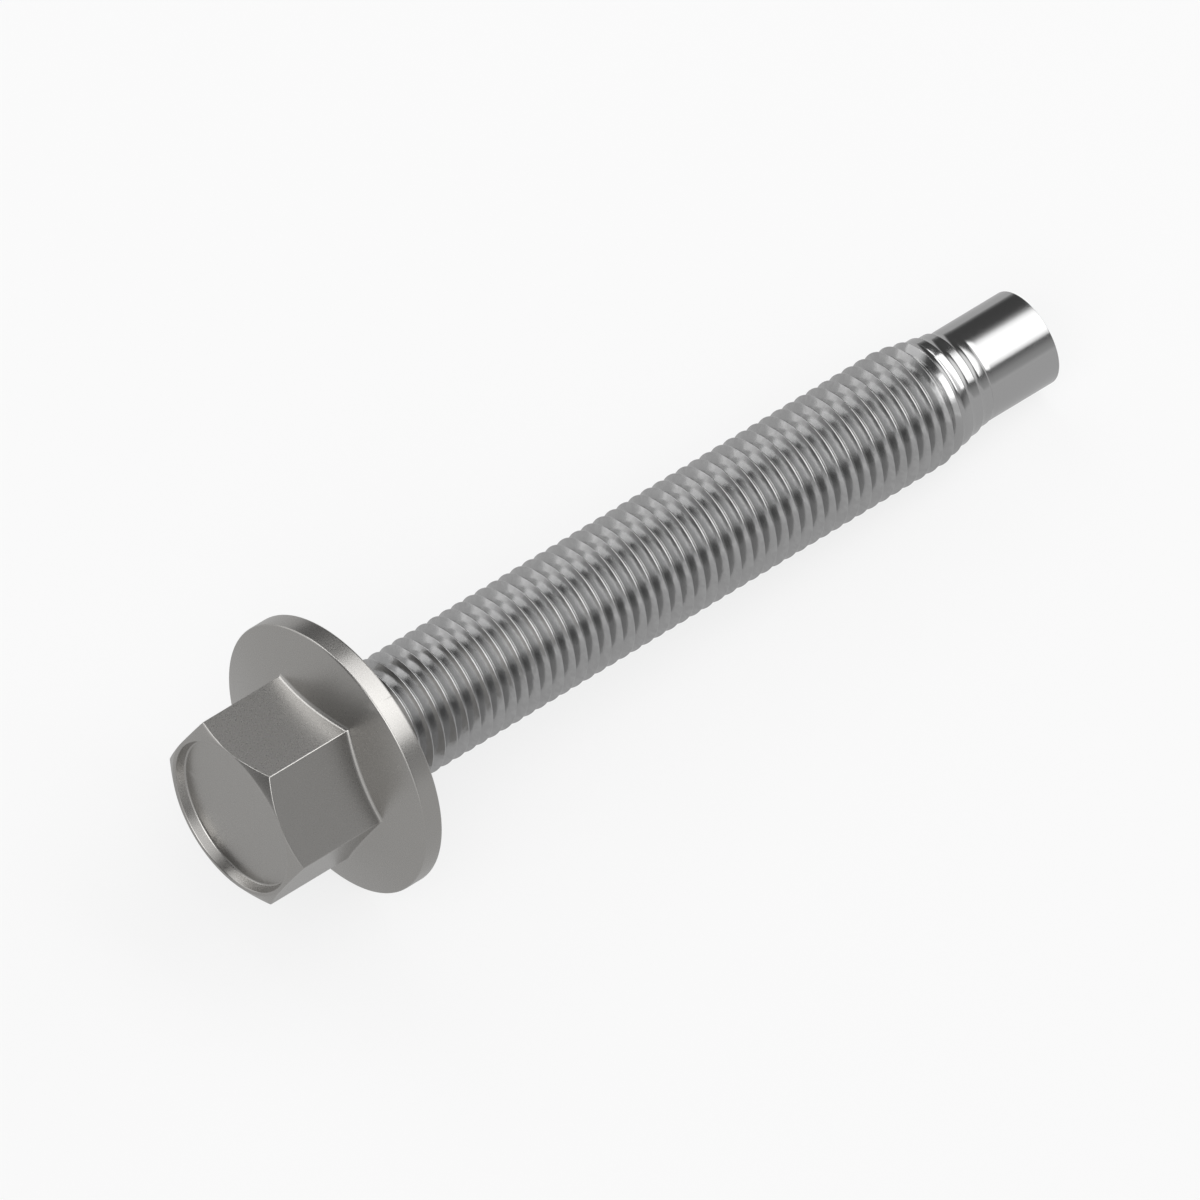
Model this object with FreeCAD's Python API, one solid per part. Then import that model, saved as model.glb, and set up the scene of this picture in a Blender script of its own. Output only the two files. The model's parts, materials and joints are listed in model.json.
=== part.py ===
import FreeCAD, Part
import math
import os

# A hex flange screw, forged and rolled as one piece of steel, in millimetres.
#
# It is built about its own axis: the bearing face under the flange is at x = 0, the shank
# runs towards +X and the head towards -X. It is then laid down as it comes to rest, on the
# rim of its flange and the end of its point, with +Z up and the floor at z = 0.

# Shank: the thread's outer diameter, then the cone and the plain pilot that guide it in
THREAD_D = 11.9
PILOT_D = 9.35
LENGTH = 80.0
PILOT_LENGTH = 7.5
LEAD_IN_ANGLE = 11.5
NECK_FILLET = 0.6
PILOT_EDGE = 0.1

# Flange: a round rim whose upper side rises as a cone towards the hexagon
FLANGE_D = 27.1
RIM_THICKNESS = 2.05
FLANGE_SLOPE = 18.5
RIM_EDGE = 0.15

# Hexagon, with the turned chamfer that cuts its corners at the top
ACROSS_FLATS = 16.0
HEAD_HEIGHT = 13.4
TOP_RING_D = 15.9
CHAMFER_ANGLE = 30.0
HEX_EDGE = 0.12
FOOT_FILLET = 0.45

# Dish forged into the top of the head, with a narrow land left round it and a drafted wall
LAND_WIDTH = 0.26
LAND_EDGE = 0.1
DISH_DEPTH = 1.0
DISH_DRAFT = 10.0
DISH_FILLET = 0.2

# How far the screw has rolled as it lies, from where one corner of the hexagon is on top
ROLL = 22.0

AXIS = FreeCAD.Vector(1, 0, 0)
CENTRE = FreeCAD.Vector(0, 0, 0)
ACROSS = FreeCAD.Vector(0, 1, 0)

# How near a point has to be to count as lying on a surface, and how far a cut starts above it
TOUCH = 0.01
CLEARANCE = 1.0

flange_r = FLANGE_D / 2
thread_r = THREAD_D / 2
pilot_r = PILOT_D / 2
flat_r = ACROSS_FLATS / 2
corner_r = flat_r / math.cos(math.radians(30))
land_r = TOP_RING_D / 2
dish_r = land_r - LAND_WIDTH
flange_rise = math.tan(math.radians(FLANGE_SLOPE))
chamfer_rise = math.tan(math.radians(CHAMFER_ANGLE))
dish_taper = math.tan(math.radians(DISH_DRAFT))
lead_in_length = (thread_r - pilot_r) / math.tan(math.radians(LEAD_IN_ANGLE))
pilot_start = LENGTH - PILOT_LENGTH
thread_end = pilot_start - lead_in_length


def flange_top(radius):
    """The x of the flange's conical upper side at a radius."""
    return -RIM_THICKNESS - (flange_r - radius) * flange_rise


def rounded_face(corners):
    """A face in the XY plane from its corners (x, y, radius), each rounded by its radius."""
    points = [FreeCAD.Vector(x, y, 0) for x, y, _ in corners]
    joints = []
    for i, point in enumerate(points):
        back = (points[i - 1] - point).normalize()
        ahead = (points[(i + 1) % len(points)] - point).normalize()
        half_angle = back.getAngle(ahead) / 2
        radius = corners[i][2]
        reach = radius / math.tan(half_angle)
        inset = radius / math.sin(half_angle) - radius
        inward = (back + ahead).normalize() if radius else back
        joints.append((point + back * reach, point + inward * inset, point + ahead * reach))
    edges = []
    for i, (start, middle, end) in enumerate(joints):
        if corners[i][2]:
            edges.append(Part.Arc(start, middle, end).toShape())
        following = joints[(i + 1) % len(joints)][0]
        edges.append(Part.LineSegment(end, following).toShape())
    return Part.Face(Part.Wire(edges))


def turned(corners):
    """The solid that an outline of (x, radius, rounding) corners makes, turned about the axis."""
    return rounded_face(corners).revolve(CENTRE, AXIS, 360)


def flange_and_shank():
    """Everything round: the flange, the neck, the shank, its lead-in cone and its pilot."""
    core_r = flat_r / 2
    return turned([
        (flange_top(core_r), 0, 0),
        (flange_top(core_r), core_r, 0),
        (flange_top(flange_r - RIM_EDGE), flange_r - RIM_EDGE, 0),
        (flange_top(flange_r) + RIM_EDGE, flange_r, 0),
        (-RIM_EDGE, flange_r, 0),
        (0, flange_r - RIM_EDGE, 0),
        (0, thread_r, NECK_FILLET),
        (thread_end, thread_r, 0),
        (pilot_start, pilot_r, 0),
        (LENGTH - PILOT_EDGE, pilot_r, 0),
        (LENGTH, pilot_r - PILOT_EDGE, 0),
        (LENGTH, 0, 0),
    ])


def runs_along_axis(edge):
    """Whether a straight edge is parallel to the screw's axis."""
    start, end = [v.Point for v in edge.Vertexes]
    return math.hypot(end.y - start.y, end.z - start.z) < TOUCH


def hexagon():
    """The hexagonal prism, its long edges eased and its top corners cut by a cone."""
    ring = []
    for i in range(7):
        angle = math.radians(60 * i)
        ring.append(FreeCAD.Vector(0, -corner_r * math.sin(angle), corner_r * math.cos(angle)))
    prism = Part.Face(Part.makePolygon(ring)).extrude(AXIS * -HEAD_HEIGHT)
    prism = prism.makeFillet(HEX_EDGE, [e for e in prism.Edges if runs_along_axis(e)])
    cone_foot = -HEAD_HEIGHT + (flange_r - land_r) * chamfer_rise
    envelope = turned([
        (-HEAD_HEIGHT, 0, 0),
        (-HEAD_HEIGHT, land_r, 0),
        (cone_foot, flange_r, 0),
        (0, flange_r, 0),
        (0, 0, 0),
    ])
    return prism.common(envelope)


def lies_on_flange(edge):
    """Whether an edge lies all along on the flange's cone, at the foot of the hexagon."""
    for point in edge.discretize(5):
        radius = math.hypot(point.y, point.z)
        if radius > corner_r + TOUCH or abs(point.x - flange_top(radius)) > TOUCH:
            return False
    return True


def dish():
    """The tool that sinks the dish: a drafted wall, a rounded foot and a flat floor."""
    above = -HEAD_HEIGHT - CLEARANCE
    wall_r = dish_r - LAND_EDGE
    floor_r = wall_r - (DISH_DEPTH - LAND_EDGE) * dish_taper
    return turned([
        (above, 0, 0),
        (above, dish_r, 0),
        (-HEAD_HEIGHT, dish_r, 0),
        (-HEAD_HEIGHT + LAND_EDGE, wall_r, 0),
        (-HEAD_HEIGHT + DISH_DEPTH, floor_r, DISH_FILLET),
        (-HEAD_HEIGHT + DISH_DEPTH, 0, 0),
    ])


def rest_angle():
    """How far the axis dips towards the point when the rim and the shank touch one floor."""
    dips = []
    for x, radius in ((LENGTH - PILOT_EDGE, pilot_r), (thread_end, thread_r)):
        dips.append(math.degrees(math.atan2(flange_r - radius, x + RIM_EDGE)))
    return min(dips)


def hex_flange_screw():
    """The whole screw about its own axis."""
    body = flange_and_shank().fuse(hexagon())
    foot = [e for e in body.Edges if lies_on_flange(e)]
    return body.makeFillet(FOOT_FILLET, foot).cut(dish())


def laid_down(screw):
    """The screw as it lies on a floor at z = 0, centred over the origin."""
    screw.rotate(CENTRE, AXIS, ROLL)
    screw.rotate(CENTRE, ACROSS, rest_angle())
    box = screw.optimalBoundingBox(False)
    screw.translate(FreeCAD.Vector(-box.Center.x, -box.Center.y, -box.ZMin))
    return screw


screw = laid_down(hex_flange_screw())
print("solids", len(screw.Solids), "valid", screw.isValid(), "volume", round(screw.Volume, 1))
print("dip", round(rest_angle(), 3), "thread to", round(thread_end, 2), "box", screw.BoundBox)

os.makedirs("parts", exist_ok=True)
screw.exportStep("parts/hex_flange_screw.step")
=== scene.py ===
import json
import math

import bmesh
import bpy
from mathutils import Matrix, Vector


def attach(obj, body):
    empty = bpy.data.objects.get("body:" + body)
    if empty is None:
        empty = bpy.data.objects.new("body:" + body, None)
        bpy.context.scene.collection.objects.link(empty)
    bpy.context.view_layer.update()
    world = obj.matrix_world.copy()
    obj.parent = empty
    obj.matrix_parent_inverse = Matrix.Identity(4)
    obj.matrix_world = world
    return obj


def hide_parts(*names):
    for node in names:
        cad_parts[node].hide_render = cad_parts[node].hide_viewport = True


# The looks of a hex flange screw, forged and rolled as one piece of steel and lying on a floor.
#
# It is modelled in its own frame, in millimetres: the bearing face under the flange is at x = 0,
# the shank runs to +x and the head to -x, and +z points at one corner of the hexagon. The finished
# mesh is then moved onto the frame, in metres.

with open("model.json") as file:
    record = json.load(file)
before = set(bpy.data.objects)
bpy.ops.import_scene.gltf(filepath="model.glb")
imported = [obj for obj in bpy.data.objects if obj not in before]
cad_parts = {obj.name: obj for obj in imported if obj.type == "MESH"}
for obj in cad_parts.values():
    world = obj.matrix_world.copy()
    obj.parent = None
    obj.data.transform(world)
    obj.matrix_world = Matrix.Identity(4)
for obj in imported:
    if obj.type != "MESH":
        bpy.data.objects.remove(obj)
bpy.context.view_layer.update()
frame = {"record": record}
MM = 0.001

# Shank: its diameters and the place of its axis come from the frame's mounts
PITCH = 1.39
LENGTH = 80.0
NECK_FILLET = 0.6
PILOT_EDGE = 0.05
LEAD_IN_ANGLE = 11.5

# Thread: steep flanks between a narrow crest and a sharp root
FLANK_ANGLE = 32.0
CREST_FLAT = PITCH / 16
CREST_EDGE = 0.03
ROOT_RADIUS = 0.04
CREST_AT_CORNER = 39.016

# Run-out: how far past the thread's end its grooves fade into low steps, and the size of the steps
FADE_START = 0.4
FADE_END = 3.2
STEP_DEPTH = 0.25
STEP_SHARE = 0.14

# Flange
FLANGE_D = 27.1
RIM_THICKNESS = 2.05
FLANGE_SLOPE = 18.5
RIM_EDGE = 0.2

# Hexagon and the chamfer turned on its corners
ACROSS_FLATS = 16.0
HEAD_HEIGHT = 13.4
TOP_RING_D = 15.9
CHAMFER_ANGLE = 30.0
HEX_EDGE = 0.12
FOOT_FILLET = 0.45
CHAMFER_EDGE = 0.1
TOP_RING_EDGE = 0.03
LARGEST_EDGE_SHARE = 0.4

# Dish in the top of the head
LAND_WIDTH = 0.26
LAND_EDGE = 0.14
DISH_DEPTH = 1.0
DISH_DRAFT = 10.0
DISH_FILLET = 0.2

# How the screw lies: how far it has rolled from where a corner of the hexagon is on top
ROLL = 22.0

# Fineness of the mesh
CORNER_STEPS = 4
FLAT_STEPS = 24
SHANK_COLUMNS = 96
ROUND_STEPS = 5
EASE_STEPS = 3
CONE_STEPS = 4
CREST_STEPS = 2
ROOT_STEPS = 4
STEP_ROWS = 3

# Noise in the steel's finishes, in features a metre
FINE_GRAIN = 9000.0
SCUFFS = 1600.0
BROAD_SHADES = 600.0

# Camera: the photograph's angle and its width in millimetres, and where it shows the middle of the
# bearing face, in pixels
VIEW_AZIMUTH = -40.04
VIEW_ELEVATION = 54.82
VIEW_WIDTH = 107.24
PHOTO_SIZE = 1200
BEARING_PIXEL = (344.33, 748.61)
VIEW_DISTANCE = 600.0

mounts = {mount["name"]: mount for mount in frame["record"]["mounts"]}
AXIS = Vector(mounts["thread"]["axis"]).normalized()
thread_length = mounts["thread"]["dims"]["length_mm"]
thread_r = mounts["thread"]["dims"]["r_mm"]
pilot_r = mounts["pilot_point"]["dims"]["r_mm"]
thread_end = NECK_FILLET + thread_length
bearing_centre = Vector(mounts["thread"]["pos_m"]) / MM - AXIS * (NECK_FILLET + thread_length / 2)

flange_r = FLANGE_D / 2
flat_r = ACROSS_FLATS / 2
land_r = TOP_RING_D / 2
flange_rise = math.tan(math.radians(FLANGE_SLOPE))
chamfer_rise = math.tan(math.radians(CHAMFER_ANGLE))
half_side = math.radians(30)
dish_taper = math.tan(math.radians(DISH_DRAFT))
lead_in_fall = math.tan(math.radians(LEAD_IN_ANGLE))
pilot_start = thread_end + (thread_r - pilot_r) / lead_in_fall
flank_slant = math.radians(FLANK_ANGLE)
sharp_depth = (PITCH - CREST_FLAT) / 2 / math.tan(flank_slant)
thread_depth = sharp_depth - ROOT_RADIUS * (1 / math.sin(flank_slant) - 1)


def smooth(value, start, end):
    """0 before start, 1 after end and an even swing between them."""
    share = min(max((value - start) / (end - start), 0.0), 1.0)
    return share * share * (3 - 2 * share)


def rounded(corners):
    """Points (x, radius) of an outline whose corners (x, radius, rounding) are eased by arcs."""
    points = []
    for i, (x, r, rounding) in enumerate(corners):
        corner = Vector((x, r))
        if not rounding:
            points.append(corner)
            continue
        back = (Vector(corners[i - 1][:2]) - corner).normalized()
        ahead = (Vector(corners[i + 1][:2]) - corner).normalized()
        half = back.angle(ahead) / 2
        centre = corner + (back + ahead).normalized() * rounding / math.sin(half)
        start = corner + back * rounding / math.tan(half) - centre
        end = corner + ahead * rounding / math.tan(half) - centre
        turn = math.pi - 2 * half
        for step in range(ROUND_STEPS + 1):
            angle = turn * step / ROUND_STEPS
            spoke = (start * math.sin(turn - angle) + end * math.sin(angle)) / math.sin(turn)
            points.append(centre + spoke)
    return points


def eased(start, corner, end):
    """Points of a small curve from start to end that rounds off the corner between them."""
    points = []
    for step in range(EASE_STEPS + 1):
        t = step / EASE_STEPS
        points.append(start * (1 - t) ** 2 + corner * 2 * t * (1 - t) + end * t * t)
    return points


def flange_top(radius):
    """The x of the flange's conical upper side at a radius."""
    return -RIM_THICKNESS - (flange_r - radius) * flange_rise


def hexagon_columns():
    """Each column of the head: its kind, the direction of its corner or flat, and its share."""
    columns = []
    for i in range(6):
        corner = math.radians(90 + 60 * i)
        for step in range(CORNER_STEPS + 1):
            columns.append(("corner", corner, 2 * step / CORNER_STEPS - 1))
        for step in range(1, FLAT_STEPS):
            columns.append(("flat", corner + half_side, 2 * step / FLAT_STEPS - 1))
    return columns


def on_hexagon(column, inradius):
    """The point (y, z) of a column on a hexagon with eased corners, and the way it faces."""
    kind, direction, share = column
    eased_r = inradius - HEX_EDGE
    if kind == "corner":
        facing = direction + half_side * share
        reach = eased_r / math.cos(half_side)
        centre = Vector((math.cos(direction), math.sin(direction))) * reach
        return centre + Vector((math.cos(facing), math.sin(facing))) * HEX_EDGE, facing
    half = math.atan(eased_r * math.tan(half_side) / inradius)
    aside = inradius * math.tan(half * share)
    outward = Vector((math.cos(direction), math.sin(direction)))
    along = Vector((-math.sin(direction), math.cos(direction)))
    return outward * inradius + along * aside, direction


def head_column(column):
    """The points of one column of the head, from the dish's floor to the bearing face."""
    flat_point, facing = on_hexagon(column, flat_r)
    angle = math.atan2(flat_point.y, flat_point.x)

    def at(x, radius):
        return Vector((x, radius * math.cos(angle), radius * math.sin(angle)))

    def on_side(x, inradius):
        point, _ = on_hexagon(column, inradius)
        return Vector((x, point.x, point.y))

    top = -HEAD_HEIGHT
    dish_r = land_r - LAND_WIDTH
    floor_r = dish_r - LAND_EDGE - DISH_DEPTH * dish_taper
    dish = rounded([
        (top + DISH_DEPTH, floor_r / 2, 0),
        (top + DISH_DEPTH, floor_r, DISH_FILLET),
        (top, dish_r - LAND_EDGE / 2, LAND_EDGE),
        (top, land_r - TOP_RING_EDGE, 0),
    ])
    points = [at(x, r) for x, r in dish]

    # The chamfer's cone, out to where it meets the hexagon's side
    chamfer_width = flat_point.length - land_r
    ring = at(top, land_r)
    edge = on_side(top + chamfer_width * chamfer_rise, flat_r)
    ease = min(TOP_RING_EDGE / chamfer_width, LARGEST_EDGE_SHARE)
    points += eased(points.pop(), ring, ring.lerp(edge, ease))
    ease = min(CHAMFER_EDGE, LARGEST_EDGE_SHARE * chamfer_width)
    below = edge + Vector((ease, 0, 0))
    points += eased(edge.lerp(ring, ease / chamfer_width), edge, below)

    # The fillet at the hexagon's foot, mitred at its corners
    slope = math.atan(flange_rise * math.cos(facing - angle))
    foot_reach = FOOT_FILLET * (1 - math.sin(slope))
    foot_point, _ = on_hexagon(column, flat_r + foot_reach)
    fillet_x = flange_top(foot_point.length) - FOOT_FILLET * math.cos(slope)
    fillet_turn = math.pi / 2 - slope
    fillet_steps = 2 * ROUND_STEPS
    for step in range(fillet_steps + 1):
        turn = fillet_turn * step / fillet_steps
        out = FOOT_FILLET * (1 - math.cos(turn))
        points.append(on_side(fillet_x + FOOT_FILLET * math.sin(turn), flat_r + out))

    # The flange's cone and its rim
    rim = rounded([
        (flange_top(flat_r), flat_r, 0),
        (flange_top(flange_r), flange_r, RIM_EDGE),
        (0, flange_r, RIM_EDGE),
        (0, thread_r, 0),
    ])[1:-1]
    cone_start = foot_point.length
    cone_end = rim[0].y
    for step in range(1, CONE_STEPS):
        radius = cone_start + (cone_end - cone_start) * step / CONE_STEPS
        points.append(at(flange_top(radius), radius))
    return points + [at(x, r) for x, r in rim]


def thread_cycle():
    """One pitch of the thread from root to root: (share of the pitch, share of the depth)."""
    turn = math.pi / 2 - flank_slant
    root = []
    for step in range(ROOT_STEPS // 2 + 1):
        angle = 2 * turn * step / ROOT_STEPS
        root.append((ROOT_RADIUS * math.sin(angle), thread_depth - ROOT_RADIUS * (1 - math.cos(angle))))
    crest = []
    crest_centre = PITCH / 2 - CREST_FLAT / 2 + CREST_EDGE * math.tan(turn / 2)
    for step in range(CREST_STEPS + 1):
        angle = turn * (1 - step / CREST_STEPS)
        crest.append((crest_centre - CREST_EDGE * math.sin(angle), CREST_EDGE * (1 - math.cos(angle))))
    rise = root + crest
    fall = [(PITCH - place, depth) for place, depth in reversed(rise[1:])]

    # Rows near the crest on the falling flank, where the run-out's steps drop
    flank = CREST_STEPS + 1
    (high_place, high_depth), (low_place, low_depth) = fall[flank - 1:flank + 1]
    for step in range(STEP_ROWS):
        place = PITCH * (0.5 + STEP_SHARE * (1 - step / STEP_ROWS))
        share = (place - high_place) / (low_place - high_place)
        fall.insert(flank, (place, high_depth + (low_depth - high_depth) * share))
    return [(place / PITCH, depth / thread_depth) for place, depth in rise + fall]


def thread_surface(x, phase, depth_share):
    """The radius of the thread at x, where its cycle is at a phase and a share of its depth."""
    crest_r = max(min(thread_r, thread_r - (x - thread_end) * lead_in_fall), pilot_r)
    fade = smooth(x, thread_end + FADE_START, thread_end + FADE_END)
    step_depth = STEP_DEPTH * (1 - smooth(x, pilot_start - PITCH / 2, pilot_start + PITCH / 8))
    depth = (thread_depth * (1 - fade) + step_depth * fade) * smooth(x, fade_start, fade_start + PITCH)
    past_crest = (phase + 0.5) % 1
    step_share = min(smooth(past_crest, 0, STEP_SHARE), (1 - past_crest) / (1 - STEP_SHARE))
    share = depth_share * (1 - fade) + step_share * fade
    return crest_r - depth * share


def ring_of(x, radius):
    """One ring of points round the shank."""
    ring = []
    for j in range(SHANK_COLUMNS):
        angle = 2 * math.pi * j / SHANK_COLUMNS
        ring.append(Vector((x, radius * math.cos(angle), radius * math.sin(angle))))
    return ring


# The thread climbs as a left-hand one: its crests move to +x as the angle from +y to +z falls. Its
# mesh is one strip, whose rows follow the helix, and starts at the first root clear of the neck. The
# corner is a quarter of a turn from +y, and a root is half a pitch from a crest.
crest_to_root = PITCH / 2
quarter_turn = PITCH / 4
root_at_start = (CREST_AT_CORNER + quarter_turn + crest_to_root) % PITCH
while root_at_start - PITCH < NECK_FILLET:
    root_at_start += PITCH
fade_start = root_at_start + PITCH / SHANK_COLUMNS


def thread_rows(cycle):
    """The rows of the thread's strip, from the plain neck to the plain pilot."""
    turns = math.ceil((pilot_start + PITCH - root_at_start) / PITCH)
    rows = []
    for row in range(turns * len(cycle) + 1):
        phase, depth_share = cycle[row % len(cycle)]
        helix_x = root_at_start + PITCH * (row // len(cycle) + phase)
        points = []
        for j in range(SHANK_COLUMNS):
            turn = j / SHANK_COLUMNS
            x = helix_x - PITCH * turn
            radius = thread_surface(x, phase, depth_share)
            angle = 2 * math.pi * turn
            points.append(Vector((x, radius * math.cos(angle), radius * math.sin(angle))))
        rows.append(points)
    return rows


def add_rows(mesh, rows):
    """Makes the rows' points and returns them as rows of vertices."""
    return [[mesh.verts.new(point) for point in row] for row in rows]


def join_rings(mesh, rings, material):
    """Faces between closed rings of as many vertices each."""
    for near, far in zip(rings, rings[1:]):
        for j in range(len(near)):
            k = (j + 1) % len(near)
            mesh.faces.new((near[j], near[k], far[k], far[j])).material_index = material


def join_thread(mesh, neck, rows, pilot, per_turn, material):
    """Faces of the thread's strip, its seam and the cells that close it to the plain rings."""
    last = SHANK_COLUMNS - 1
    faces = []
    for i in range(len(rows) - 1):
        for j in range(last):
            faces.append((rows[i][j], rows[i][j + 1], rows[i + 1][j + 1], rows[i + 1][j]))
    for i in range(per_turn, len(rows) - 1):
        below = i - per_turn
        faces.append((rows[i][last], rows[below][0], rows[below + 1][0], rows[i + 1][last]))
    first_seam = [row[last] for row in rows[:per_turn + 1]]
    last_seam = [row[0] for row in rows[-per_turn - 1:]]
    for j in range(last):
        faces.append((neck[j], neck[j + 1], rows[0][j + 1], rows[0][j]))
        faces.append((rows[-1][j], rows[-1][j + 1], pilot[j + 1], pilot[j]))
    faces.append((neck[last], neck[0], rows[0][0], *reversed(first_seam)))
    faces.append((rows[-1][last], *last_seam, pilot[0], pilot[last]))
    for corners in faces:
        mesh.faces.new(corners).material_index = material


def screw_mesh():
    """The whole screw as one closed mesh in its own frame, its head in satin and its shank in rolled
    steel, which are its first and its second material."""
    mesh = bmesh.new()
    satin, rolled = 0, 1

    columns = [head_column(column) for column in hexagon_columns()]
    head = add_rows(mesh, [list(ring) for ring in zip(*columns)])
    mesh.faces.new(head[0]).material_index = satin
    join_rings(mesh, head, satin)

    neck_profile = rounded([(0, flange_r, 0), (0, thread_r, NECK_FILLET), (LENGTH, thread_r, 0)])[1:-1]
    neck = add_rows(mesh, [ring_of(x, r) for x, r in neck_profile])
    join_rings(mesh, neck, rolled)
    bounds = []
    for ring in (head[-1], neck[0]):
        bounds += [mesh.edges.get((ring[j - 1], ring[j])) for j in range(len(ring))]
    for face in bmesh.ops.bridge_loops(mesh, edges=bounds)["faces"]:
        face.material_index = satin

    cycle = thread_cycle()
    rows = add_rows(mesh, thread_rows(cycle))
    pilot_profile = rounded([
        (rows[-1][0].co.x + PITCH / SHANK_COLUMNS, pilot_r, 0),
        (LENGTH, pilot_r, PILOT_EDGE),
        (LENGTH, 0, 0),
    ])[:-1]
    pilot = add_rows(mesh, [ring_of(x, r) for x, r in pilot_profile])
    join_thread(mesh, neck[-1], rows, pilot[0], len(cycle), rolled)
    join_rings(mesh, pilot, rolled)
    mesh.faces.new(pilot[-1]).material_index = rolled
    bmesh.ops.recalc_face_normals(mesh, faces=mesh.faces)
    return mesh


def laid_down():
    """Where the screw's own frame lies in the floor's frame: its turn, its scale and its place."""
    across = Vector((0, 1, 0))
    upward = AXIS.cross(across)
    corner = upward * math.cos(math.radians(ROLL)) - across * math.sin(math.radians(ROLL))
    turn = Matrix((AXIS, corner.cross(AXIS), corner)).transposed().to_4x4()
    return Matrix.Translation(bearing_centre * MM) @ turn @ Matrix.Scale(MM, 4)


class Value:
    """A shader value, so that maths on it is written as it is read."""

    def __init__(self, finish, socket):
        self.finish = finish
        self.socket = socket

    def maths(self, operation, first, second):
        return self.finish.node("Math", {"operation": operation}, {0: first, 1: second})

    def __add__(self, other):
        return self.maths("ADD", self, other)

    def __sub__(self, other):
        return self.maths("SUBTRACT", self, other)

    def __rsub__(self, other):
        return self.maths("SUBTRACT", other, self)

    def __mul__(self, other):
        return self.maths("MULTIPLY", self, other)

    __radd__ = __add__
    __rmul__ = __mul__


class Finish:
    """A node tree in the making, for a material or the world."""

    def __init__(self, owner):
        owner.use_nodes = True
        self.tree = owner.node_tree
        self.tree.nodes.clear()

    def node(self, kind, settings=None, inputs=None, output=0):
        """Adds a node: its settings first, then the values or links of its sockets."""
        node = self.tree.nodes.new("ShaderNode" + kind)
        for name, setting in (settings or {}).items():
            setattr(node, name, setting)
        for name, value in (inputs or {}).items():
            if isinstance(value, Value):
                self.tree.links.new(value.socket, node.inputs[name])
            else:
                node.inputs[name].default_value = value
        return Value(self, node.outputs[output]) if node.outputs else None

    def between(self, value, start, end, low=0.0, high=1.0):
        """low before start, high after end and an even swing between them."""
        return self.node(
            "MapRange",
            {"interpolation_type": "SMOOTHSTEP"},
            {"Value": value, "From Min": start, "From Max": end, "To Min": low, "To Max": high},
        )

    def blended(self, factor, first, second):
        """A colour between two colours."""
        colour_a, colour_b, colour_out = 6, 7, 2
        return self.node(
            "Mix", {"data_type": "RGBA"}, {0: factor, colour_a: first, colour_b: second}, colour_out
        )

    def noise(self, place, scale, detail=2.0):
        """Noise of a scale in features a metre."""
        return self.node("TexNoise", None, {"Vector": place, "Scale": scale, "Detail": detail})


def satin_steel():
    """The head's steel: broad faint shades, and a fine grain in its roughness and its surface."""
    darker = (0.444, 0.434, 0.419, 1)
    lighter = (0.456, 0.446, 0.431, 1)
    roughness = 0.28
    grain_height = 8e-8
    material = bpy.data.materials.new("satin_steel")
    finish = Finish(material)
    place = finish.node("TexCoord", output="Object")
    fine = finish.noise(place, FINE_GRAIN)
    broad = finish.noise(place, BROAD_SHADES)
    surface = finish.node("Bump", None, {"Strength": 1.0, "Distance": grain_height, "Height": fine})
    shine = finish.node(
        "BsdfPrincipled",
        None,
        {
            "Metallic": 1.0,
            "Base Color": finish.blended(broad, darker, lighter),
            "Roughness": roughness * (0.9 + 0.2 * fine),
            "Normal": surface,
        },
    )
    finish.node("OutputMaterial", None, {"Surface": shine})
    return material


def rolled_steel():
    """The shank's steel: scuffed on the rolled thread, with painted shade that darkens its grooves
    towards the root, and polished on the lead-in and the pilot.
    """
    # The duller grey is the thread's scuffed tone and the painted shade in its roots; the lighter grey
    # is on its crests and on the polished lead-in and pilot.
    dull_and_shaded_grey = (0.44, 0.44, 0.44, 1)
    polished_and_crest_grey = (0.51, 0.51, 0.51, 1)
    thread_roughness = 0.2
    polished_roughness = 0.15
    scuff_height = 1.6e-5
    grain_height = 2e-7
    least_groove_contrast = 0.3
    material = bpy.data.materials.new("rolled_steel")
    finish = Finish(material)
    place = finish.node("TexCoord", output="Object")
    offset = finish.node("VectorMath", {"operation": "SUBTRACT"}, {0: place, 1: bearing_centre * MM})
    along = finish.node("VectorMath", {"operation": "DOT_PRODUCT"}, {0: offset, 1: AXIS}, "Value")
    foot = finish.node("VectorMath", {"operation": "SCALE"}, {0: AXIS, "Scale": along})
    spoke = finish.node("VectorMath", {"operation": "SUBTRACT"}, {0: offset, 1: foot})
    radius = finish.node("VectorMath", {"operation": "LENGTH"}, {0: spoke}, "Value")
    polish = finish.between(along, (thread_end + FADE_START) * MM, (thread_end + FADE_END) * MM)
    fine = finish.noise(place, FINE_GRAIN)
    cloudy = finish.noise(place, SCUFFS, detail=4.0)
    # Painted shade: the thread's colour darkens from the crest down into the root, where shade falls in
    # its grooves; random patches keep it darker still.
    groove_shade = finish.between(radius, (thread_r - thread_depth) * MM, thread_r * MM)
    patchy = finish.between(cloudy, 0.35, 0.65, low=least_groove_contrast)
    polish_and_groove_shade = finish.node("Math", {"operation": "MAXIMUM"}, {0: polish, 1: groove_shade * patchy})
    dull = 1.0 - polish
    wavy = finish.node(
        "Bump", None, {"Strength": 1.0, "Distance": scuff_height, "Height": cloudy * dull}
    )
    surface = finish.node(
        "Bump", None, {"Strength": 1.0, "Distance": grain_height, "Height": fine, "Normal": wavy}
    )
    roughness = finish.between(polish, 0.0, 1.0, low=thread_roughness, high=polished_roughness)
    shine = finish.node(
        "BsdfPrincipled",
        None,
        {
            "Metallic": 1.0,
            "Base Color": finish.blended(polish_and_groove_shade, dull_and_shaded_grey, polished_and_crest_grey),
            "Roughness": roughness * (0.9 + 0.2 * fine),
            "Normal": surface,
        },
    )
    finish.node("OutputMaterial", None, {"Surface": shine})
    return material


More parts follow.
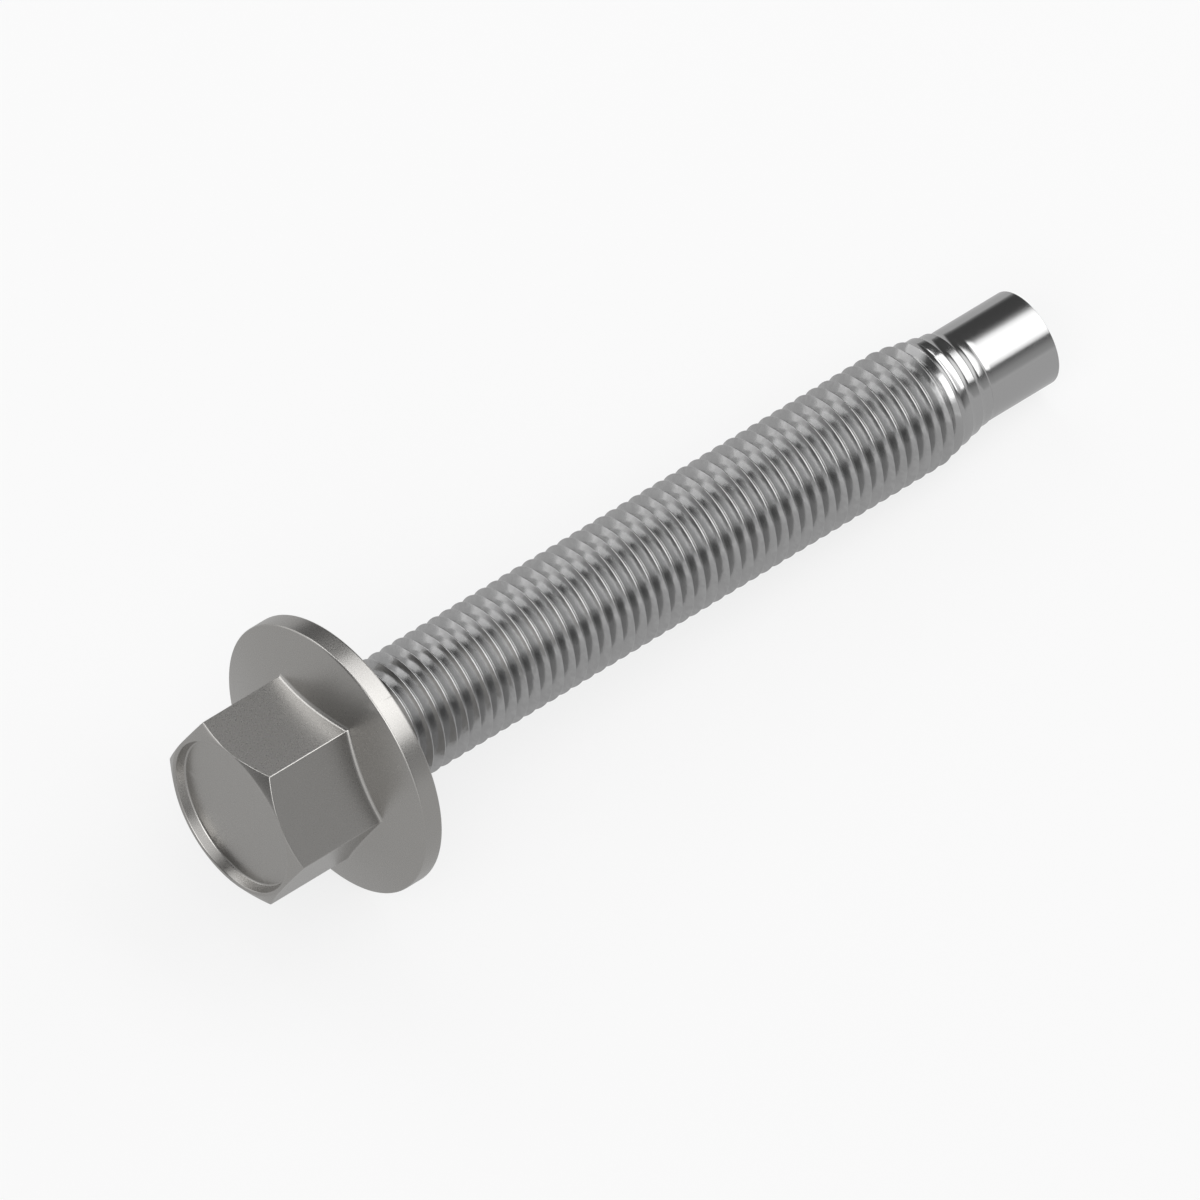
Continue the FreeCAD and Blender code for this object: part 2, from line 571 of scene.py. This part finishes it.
def make_screw():
    """The screw's one piece, laid on the frame."""
    mesh = screw_mesh()
    mesh.transform(laid_down())
    data = bpy.data.meshes.new("screw")
    mesh.to_mesh(data)
    mesh.free()
    data.shade_smooth()
    data.materials.append(satin_steel())
    data.materials.append(rolled_steel())
    screw = bpy.data.objects.new("screw", data)
    bpy.context.scene.collection.objects.link(screw)
    normals = screw.modifiers.new("flat_faces_stay_flat", "WEIGHTED_NORMAL")
    normals.keep_sharp = True
    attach(screw, "root")
    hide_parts("hex_flange_screw")
    return screw


def make_floor():
    """A plain pale floor: the camera sees it mostly as an even white, and the steel as an even grey."""
    size = 3.0
    painted = (0.8, 0.8, 0.8, 1)
    seen_white = (0.98, 0.98, 0.98, 1)
    mirrored_grey = (0.55, 0.55, 0.55, 1)
    seen_evenness = 0.8
    mirrored_evenness = 0.88
    mesh = bmesh.new()
    bmesh.ops.create_grid(mesh, x_segments=1, y_segments=1, size=size)
    data = bpy.data.meshes.new("floor")
    mesh.to_mesh(data)
    mesh.free()
    material = bpy.data.materials.new("pale_floor")
    finish = Finish(material)
    paint = finish.node("BsdfDiffuse", None, {"Color": painted})
    camera_ray = finish.node("LightPath", output="Is Camera Ray")
    glossy_ray = finish.node("LightPath", output="Is Glossy Ray")
    colour = finish.blended(camera_ray, mirrored_grey, seen_white)
    even = finish.node("Emission", None, {"Color": colour, "Strength": 1.0})
    share = camera_ray * seen_evenness + glossy_ray * mirrored_evenness
    surface = finish.node("MixShader", None, {0: share, 1: paint, 2: even})
    finish.node("OutputMaterial", None, {"Surface": surface})
    data.materials.append(material)
    floor = bpy.data.objects.new("floor", data)
    bpy.context.scene.collection.objects.link(floor)


def hang(name, lamp, place, turn):
    """Puts a lamp at its place in the scene."""
    holder = bpy.data.objects.new(name, lamp)
    holder.location = place
    holder.rotation_euler = turn
    bpy.context.scene.collection.objects.link(holder)


def make_main_panel():
    """One large soft lamp overhead, long across the screw; its edges are places at its height."""
    height = 1.0
    turn = math.radians(8.3)
    radiance = 2.24
    head_side, point_side = 0.33, 0.78
    near_side, far_side = -1.32, 0.55
    lamp = bpy.data.lights.new("main_panel", "AREA")
    lamp.shape = "RECTANGLE"
    lamp.size = (point_side - head_side) * height
    lamp.size_y = (far_side - near_side) * height
    lamp.energy = radiance * math.pi * lamp.size * lamp.size_y
    middle = Vector(((point_side + head_side) / 2, (far_side + near_side) / 2, 1)) * height
    hang("main_panel", lamp, Matrix.Rotation(turn, 3, "Z") @ middle, (0, 0, turn))


def make_back_lamp():
    """A small round lamp behind the screw, which lights the upper side of its hexagon."""
    distance = 0.9
    radius = 0.26
    radiance = 1.9
    toward = Vector((0.125, 0.7, 0.7)).normalized()
    lamp = bpy.data.lights.new("back_lamp", "AREA")
    lamp.shape = "DISK"
    lamp.size = 2 * radius
    lamp.energy = radiance * math.pi * math.pi * radius * radius
    hang("back_lamp", lamp, toward * distance, toward.to_track_quat("Z", "Y").to_euler())


def patch(room, direction, azimuth, elevation, core, edge, radiance):
    """A soft round patch of the room's light, even to its core and gone at its edge, in degrees."""
    turn, rise = math.radians(azimuth), math.radians(elevation)
    centre = (math.cos(rise) * math.cos(turn), math.cos(rise) * math.sin(turn), math.sin(rise))
    nearness = room.node("VectorMath", {"operation": "DOT_PRODUCT"}, {0: direction, 1: centre}, "Value")
    gone, full = math.cos(math.radians(edge)), math.cos(math.radians(core))
    return room.between(nearness, gone, full, high=radiance)


def make_room():
    """The room round the screw: a weak even light, a brighter horizon and soft patches."""
    even_glow = 0.08
    horizon_glow = 0.2
    horizon_height = 0.17
    world = bpy.data.worlds.new("room")
    bpy.context.scene.world = world
    room = Finish(world)
    direction = room.node("TexCoord", output="Generated")
    upward = (0, 0, 1)
    height = room.node("VectorMath", {"operation": "DOT_PRODUCT"}, {0: direction, 1: upward}, "Value")
    top = patch(room, direction, azimuth=-92, elevation=68, core=8, edge=43, radiance=1.08)
    left = patch(room, direction, azimuth=-152, elevation=45, core=13, edge=27, radiance=2.5)
    front = patch(room, direction, azimuth=-130, elevation=8, core=15, edge=44, radiance=0.68)
    back = patch(room, direction, azimuth=107, elevation=14, core=18, edge=38, radiance=0.9)
    right = patch(room, direction, azimuth=-60, elevation=-5, core=12, edge=40, radiance=0.36)
    point = patch(room, direction, azimuth=-5, elevation=20, core=12, edge=30, radiance=1.2)
    head = patch(room, direction, azimuth=152, elevation=18, core=6, edge=22, radiance=0.24)
    horizon = room.between(height, 0.0, horizon_height, low=horizon_glow, high=0.0)
    level = top + left + front + back + right + point + head + horizon + even_glow
    glow = room.node("Background", None, {"Color": (1, 1, 1, 1), "Strength": level})
    room.node("OutputWorld", None, {"Surface": glow})


def make_camera():
    """The photograph's view, without perspective."""
    azimuth, elevation = math.radians(VIEW_AZIMUTH), math.radians(VIEW_ELEVATION)
    back = Vector((
        math.sin(azimuth) * math.cos(elevation),
        -math.cos(azimuth) * math.cos(elevation),
        math.sin(elevation),
    ))
    right = Vector((math.cos(azimuth), math.sin(azimuth), 0))
    up = back.cross(right)
    scale = VIEW_WIDTH / PHOTO_SIZE
    aside = (BEARING_PIXEL[0] - PHOTO_SIZE / 2) * scale
    above = (PHOTO_SIZE / 2 - BEARING_PIXEL[1]) * scale
    middle = bearing_centre - right * aside - up * above
    data = bpy.data.cameras.new("camera")
    data.type = "ORTHO"
    data.ortho_scale = VIEW_WIDTH * MM
    camera = bpy.data.objects.new("camera", data)
    camera.location = (middle + back * VIEW_DISTANCE) * MM
    camera.rotation_euler = Matrix((right, up, back)).transposed().to_euler()
    bpy.context.scene.collection.objects.link(camera)
    bpy.context.scene.camera = camera


make_camera()
make_main_panel()
make_back_lamp()
make_room()
make_floor()
make_screw()
bpy.context.scene.view_settings.view_transform = "Standard"
